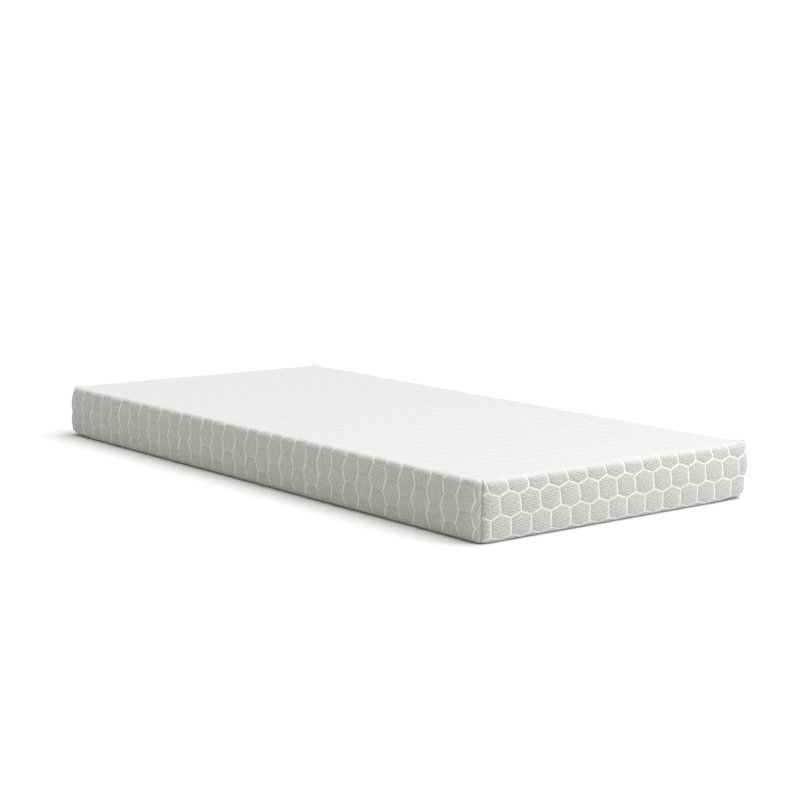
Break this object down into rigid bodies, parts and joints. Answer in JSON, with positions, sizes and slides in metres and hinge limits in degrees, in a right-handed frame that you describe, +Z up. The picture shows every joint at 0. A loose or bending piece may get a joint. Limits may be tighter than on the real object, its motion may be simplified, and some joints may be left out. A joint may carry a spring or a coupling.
{
  "type": "memory foam mattress",
  "caption": "Flat rectangular foam mattress in a quilted knit cover with rounded edges, sewn corners and a zip along the rear side.",
  "frame": {"origin": "middle of the underside, on the surface that the mattress lies on", "axes": "+X along the length, +Y across the width towards the side with the zip, +Z up"},
  "size_m": [1.905, 0.97, 0.152],
  "materials": {
    "cover_knit": "double-knit jacquard with padded hexagonal cells",
    "base_cloth": "plain flat knit",
    "seam_thread": "overlocked polyester thread",
    "label_cloth": "plain woven tape, blank",
    "sleeve_knit": "thin rib knit",
    "memory_foam": "open-cell viscoelastic foam with a smooth skin",
    "adhesive": "sprayed film",
    "support_foam": "cut open-cell polyurethane foam",
    "zip_tape": "woven herringbone tape",
    "zip_coil": "nylon monofilament coil",
    "zip_metal": "nickel-plated die casting"
  },
  "bodies": {
    "mattress": {"cover_top_and_sides": "cover_knit", "cover_base_panel": "base_cloth", "corner_seam_front_right": "seam_thread", "corner_seam_front_left": "seam_thread", "corner_seam_rear_left": "seam_thread", "corner_seam_rear_right": "seam_thread", "underside_seam_tape": "seam_thread", "care_label": "label_cloth", "fire_sleeve_bag": "sleeve_knit", "fire_sleeve_end_flap": "sleeve_knit", "memory_foam_layer": "memory_foam", "foam_adhesive_film": "adhesive", "support_foam_core": "support_foam", "zip_tape_upper": "zip_tape", "zip_tape_lower": "zip_tape", "zip_coil_upper": "zip_coil", "zip_coil_lower": "zip_coil", "zip_top_stop_upper": "zip_metal", "zip_top_stop_lower": "zip_metal", "zip_bottom_stop": "zip_metal"},
    "slider": {"zip_slider": "zip_metal"},
    "pull_tab": {"zip_pull_tab": "zip_metal"}
  },
  "joints": [
    {"name": "zip_slide", "type": "slide", "parent": "mattress", "child": "slider", "axis": [1, 0, 0], "range_m": [0, 1.8076]},
    {"name": "pull_tab_hinge", "type": "hinge", "parent": "slider", "child": "pull_tab", "pos_m": [-0.9039, 0.4852, 0.034], "axis": [0, 0, 1], "range_deg": [0, 180]}
  ]
}
